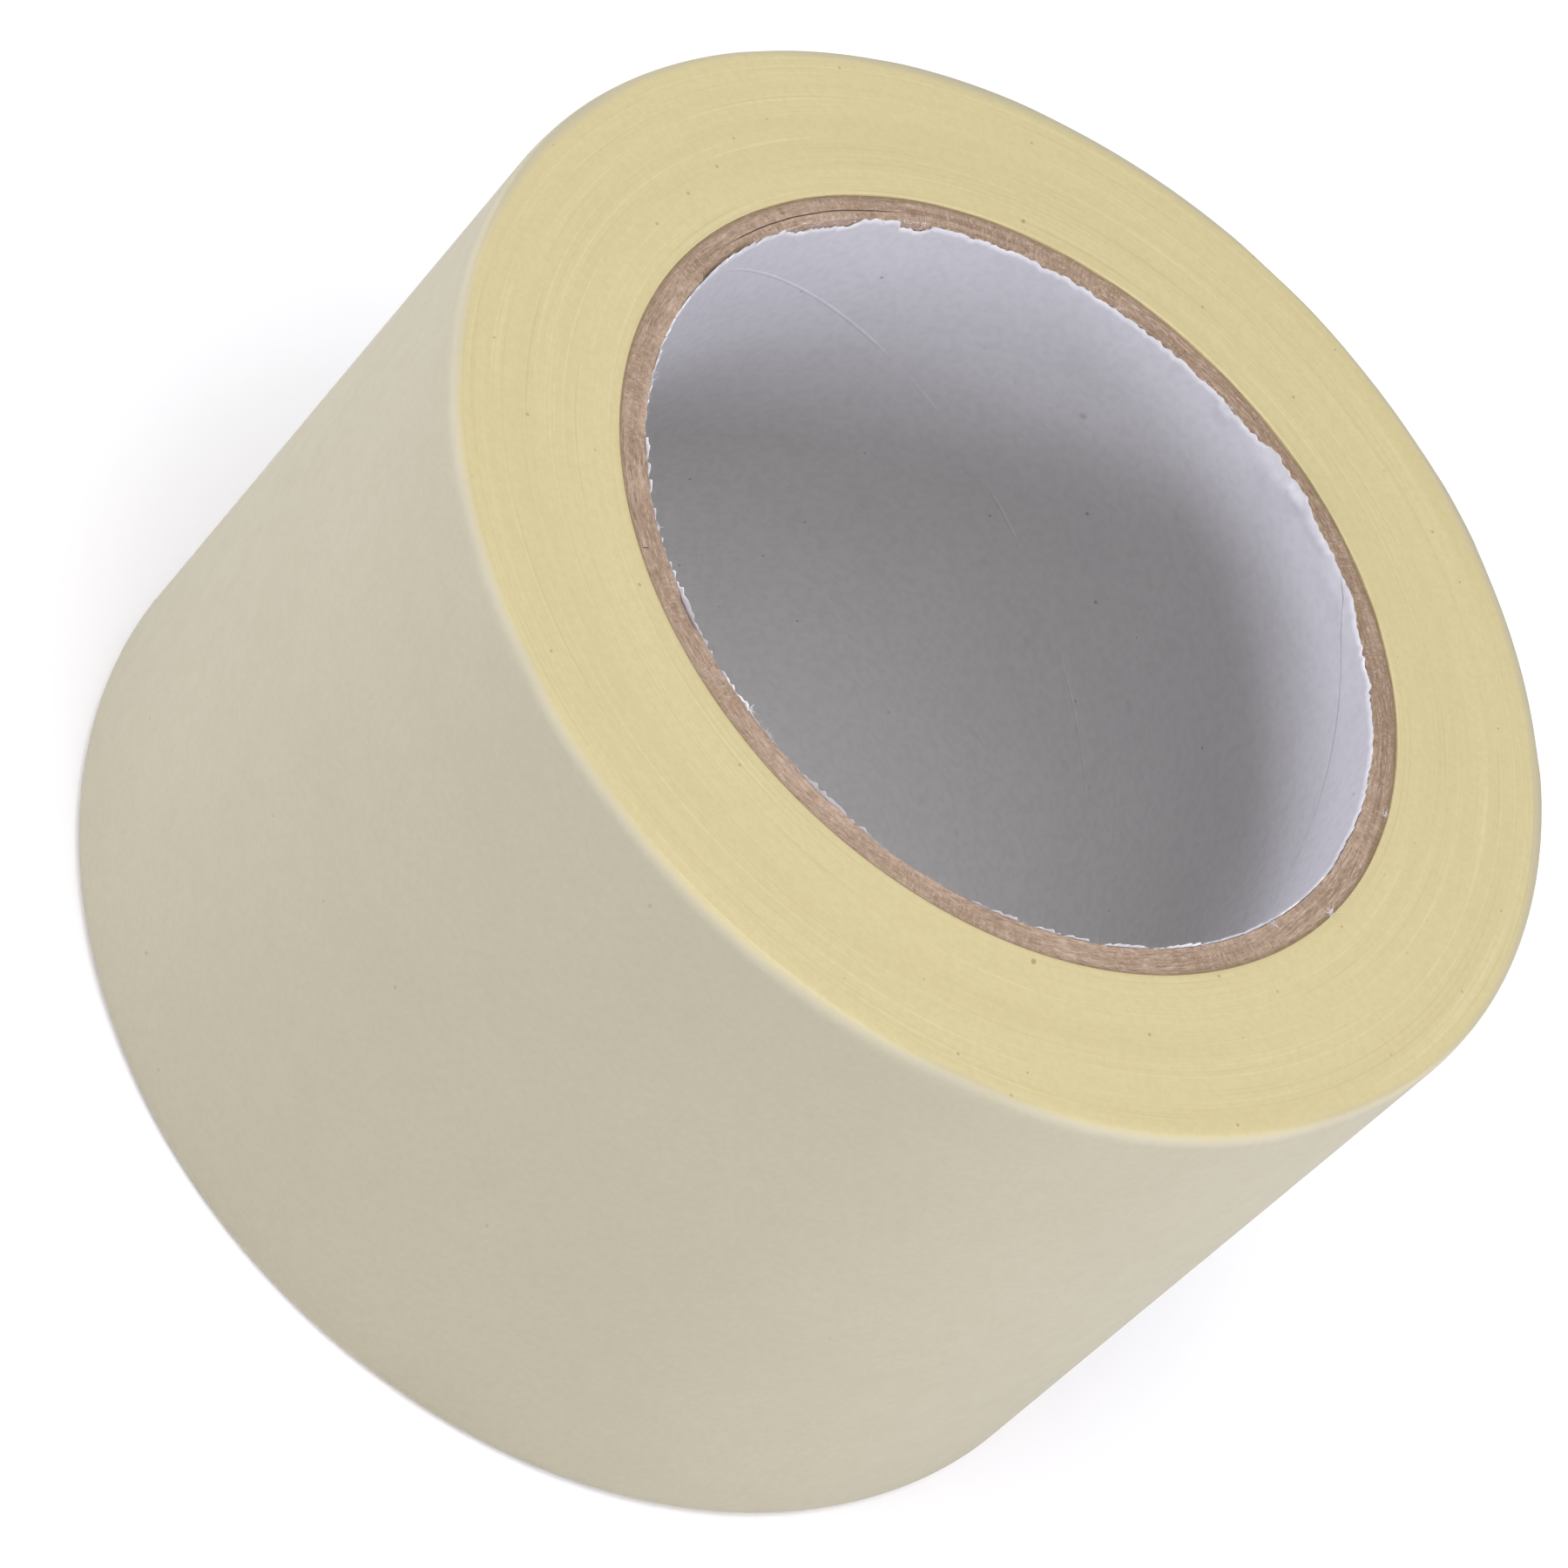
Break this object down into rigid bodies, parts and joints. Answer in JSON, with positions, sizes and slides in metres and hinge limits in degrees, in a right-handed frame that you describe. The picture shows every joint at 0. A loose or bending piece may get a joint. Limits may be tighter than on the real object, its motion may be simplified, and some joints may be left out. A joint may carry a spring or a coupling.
{
  "type": "masking tape roll",
  "caption": "Wide roll of crepe paper masking tape on a spiral-wound kraft core with a white paper bore lining; the free end peels back from the roll.",
  "frame": {"origin": "centre of the flat end that the roll stands on, at the height of that end", "axes": "+Z along the roll's axis, up out of the other flat end; the tape's cut end lies at +Y and its free length runs from there towards -X; the side that faces -Y is the front"},
  "size_m": [0.1159, 0.1159, 0.075],
  "materials": {
    "liner_paper": "satin",
    "kraft_board": "matte",
    "wound_tape": "matte",
    "tape_end": "matte"
  },
  "bodies": {
    "root": {"core_liner": "liner_paper", "core_ply_1": "kraft_board", "core_ply_2": "kraft_board", "core_ply_3": "kraft_board", "core_ply_4": "kraft_board", "core_ply_5": "kraft_board", "tape_winding": "wound_tape"},
    "tail_1": {"tape_tail_01": "tape_end"},
    "tail_2": {"tape_tail_02": "tape_end"},
    "tail_3": {"tape_tail_03": "tape_end"},
    "tail_4": {"tape_tail_04": "tape_end"},
    "tail_5": {"tape_tail_05": "tape_end"},
    "tail_6": {"tape_tail_06": "tape_end"},
    "tail_7": {"tape_tail_07": "tape_end"},
    "tail_8": {"tape_tail_08": "tape_end"}
  },
  "joints": [
    {"name": "tail_peel", "type": "hinge", "parent": "root", "child": "tail_1", "pos_m": [-0.05021, 0.02899, 0], "axis": [0, 0, 1], "range_deg": [0, 22.5]},
    {"name": "tail_bend_2", "type": "hinge", "parent": "tail_1", "child": "tail_2", "pos_m": [-0.046, 0.0353, 0], "axis": [0, 0, 1], "range_deg": [0, 22.5]},
    {"name": "tail_bend_3", "type": "hinge", "parent": "tail_2", "child": "tail_3", "pos_m": [-0.041, 0.041, 0], "axis": [0, 0, 1], "range_deg": [0, 22.5]},
    {"name": "tail_bend_4", "type": "hinge", "parent": "tail_3", "child": "tail_4", "pos_m": [-0.0353, 0.046, 0], "axis": [0, 0, 1], "range_deg": [0, 22.5]},
    {"name": "tail_bend_5", "type": "hinge", "parent": "tail_4", "child": "tail_5", "pos_m": [-0.02899, 0.05022, 0], "axis": [0, 0, 1], "range_deg": [0, 22.5]},
    {"name": "tail_bend_6", "type": "hinge", "parent": "tail_5", "child": "tail_6", "pos_m": [-0.02219, 0.05358, 0], "axis": [0, 0, 1], "range_deg": [0, 22.5]},
    {"name": "tail_bend_7", "type": "hinge", "parent": "tail_6", "child": "tail_7", "pos_m": [-0.01501, 0.05602, 0], "axis": [0, 0, 1], "range_deg": [0, 22.5]},
    {"name": "tail_bend_8", "type": "hinge", "parent": "tail_7", "child": "tail_8", "pos_m": [-0.00757, 0.0575, 0], "axis": [0, 0, 1], "range_deg": [0, 22.5]}
  ],
  "couplings": [
    {"joint": "tail_bend_2", "follows": "tail_peel", "ratio": 1},
    {"joint": "tail_bend_3", "follows": "tail_peel", "ratio": 1},
    {"joint": "tail_bend_4", "follows": "tail_peel", "ratio": 1},
    {"joint": "tail_bend_5", "follows": "tail_peel", "ratio": 1},
    {"joint": "tail_bend_6", "follows": "tail_peel", "ratio": 1},
    {"joint": "tail_bend_7", "follows": "tail_peel", "ratio": 1},
    {"joint": "tail_bend_8", "follows": "tail_peel", "ratio": 1}
  ]
}
